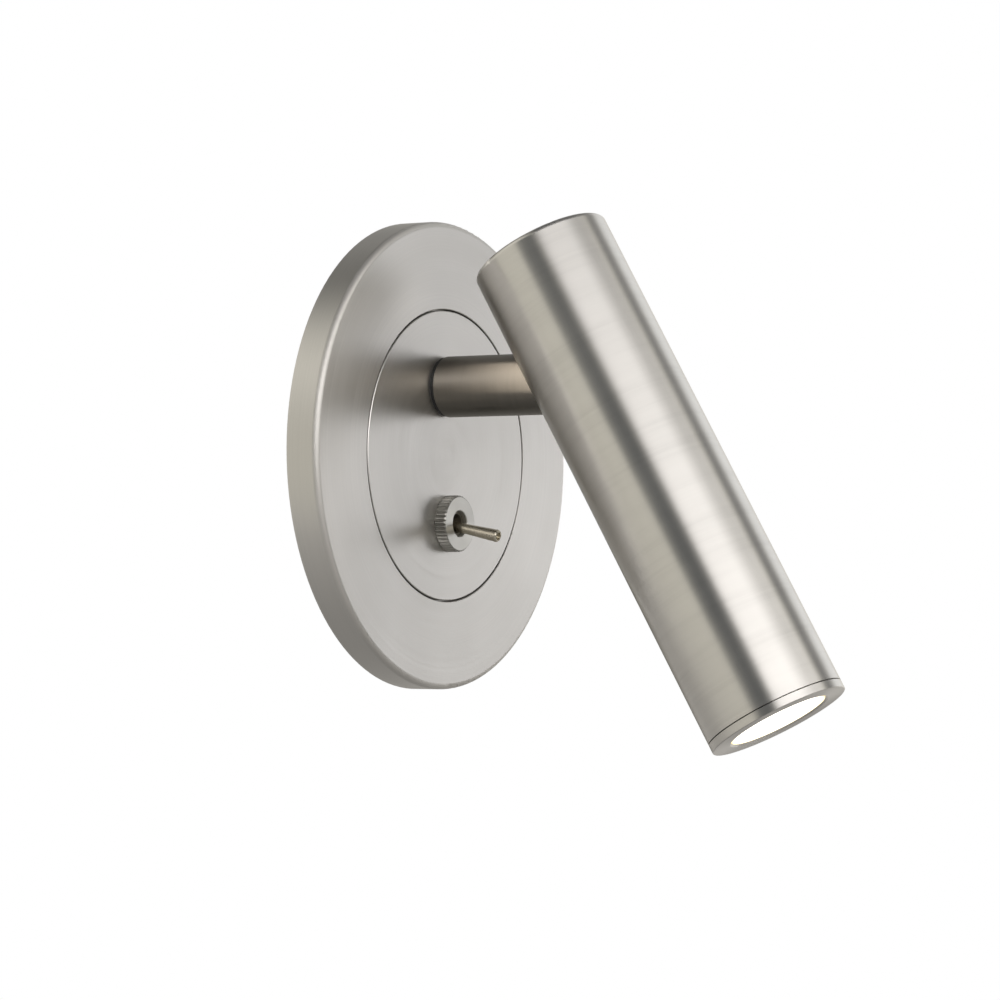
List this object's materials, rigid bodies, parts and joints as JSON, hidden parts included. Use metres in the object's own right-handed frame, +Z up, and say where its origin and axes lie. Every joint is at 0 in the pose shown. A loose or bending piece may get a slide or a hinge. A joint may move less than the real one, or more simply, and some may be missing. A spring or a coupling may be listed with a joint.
{
  "type": "wall reading lamp",
  "caption": "bedside wall reading lamp with a round wall plate, toggle switch, short swivelling arm and tilting cylindrical spot head, satin nickel",
  "frame": {"origin": "centre of the wall plate's back rim, on the wall's surface", "axes": "+Z up, +Y into the wall, the arm and head on the -Y side, +X to the right of someone facing the wall; the head is stored tilted with its lens down and away from the wall"},
  "size_m": [0.115, 0.1266, 0.1298],
  "materials": {
    "nickel_steel": "satin nickel plated, brushed",
    "nickel_brass": "satin nickel plated",
    "nickel_aluminium": "satin nickel finish, brushed round",
    "zinc_steel": "zinc plated",
    "spring_steel": "plain spring steel",
    "bare_brass": "machined",
    "cast_aluminium": "die cast",
    "black_nylon": "moulded",
    "pale_nylon": "moulded",
    "silicone": "soft",
    "circuit_board": "solder mask",
    "component_bodies": "moulded",
    "white_board": "white solder mask",
    "phosphor": "phosphor coating",
    "clear_lens": "clear, lit from behind",
    "wire_insulation": "smooth"
  },
  "bodies": {
    "wall_unit": {"wall_bracket": "zinc_steel", "canopy_ring": "nickel_steel", "front_disc": "nickel_steel", "disc_screws": "zinc_steel", "grub_screws": "zinc_steel", "earth_screw": "zinc_steel", "earth_washer": "zinc_steel", "terminal_block": "pale_nylon", "terminal_inserts": "bare_brass", "terminal_screws": "bare_brass", "block_screw": "zinc_steel", "switch_lead": "wire_insulation", "stop_pin": "zinc_steel", "switch_face_nut": "nickel_brass", "switch_bushing": "nickel_brass", "switch_lock_washer": "zinc_steel", "switch_hex_nut": "zinc_steel", "switch_body": "black_nylon", "switch_terminals": "bare_brass"},
    "rocker": {"contact_rocker": "bare_brass"},
    "lever": {"switch_lever": "nickel_brass", "switch_plunger": "bare_brass", "switch_spring": "spring_steel"},
    "arm": {"base_washer": "black_nylon", "arm_tube": "nickel_steel", "arm_plug": "bare_brass", "swivel_nipple": "bare_brass", "back_washer": "zinc_steel", "stop_washer": "zinc_steel", "swivel_spring": "spring_steel", "swivel_locknut": "zinc_steel", "hinge_block": "nickel_aluminium", "arm_wires": "wire_insulation"},
    "head": {"head_tube": "nickel_aluminium", "core_screws": "zinc_steel", "top_cap": "nickel_aluminium", "bezel_ring": "nickel_aluminium", "hinge_core": "cast_aluminium", "pivot_bolt": "zinc_steel", "pivot_nut": "zinc_steel", "tilt_washers": "black_nylon", "tilt_springs": "spring_steel", "driver_case": "black_nylon", "driver_board": "circuit_board", "driver_components": "component_bodies", "heat_sink": "cast_aluminium", "led_board": "white_board", "led_chip": "phosphor", "led_screws": "zinc_steel", "lens": "clear_lens", "lens_gasket": "silicone", "optic_holder": "black_nylon", "supply_leads": "wire_insulation", "led_leads": "wire_insulation"}
  },
  "joints": [
    {"name": "arm_swivel", "type": "hinge", "parent": "wall_unit", "child": "arm", "pos_m": [0, -0.0085, 0.01685], "axis": [0, 1, 0], "range_deg": [-165, 165]},
    {"name": "head_tilt", "type": "hinge", "parent": "arm", "child": "head", "pos_m": [0, -0.0542, 0.01685], "axis": [-1, 0, 0], "range_deg": [-38.7, 16.3]},
    {"name": "switch_toggle", "type": "hinge", "parent": "wall_unit", "child": "lever", "pos_m": [0, -0.00705, -0.0168], "axis": [-1, 0, 0], "range_deg": [0, 23]},
    {"name": "rocker_tilt", "type": "hinge", "parent": "wall_unit", "child": "rocker", "pos_m": [0, 0.00275, -0.0168], "axis": [1, 0, 0], "range_deg": [0, 16]}
  ],
  "couplings": [
    {"joint": "rocker_tilt", "follows": "switch_toggle", "ratio": 0.6956}
  ]
}
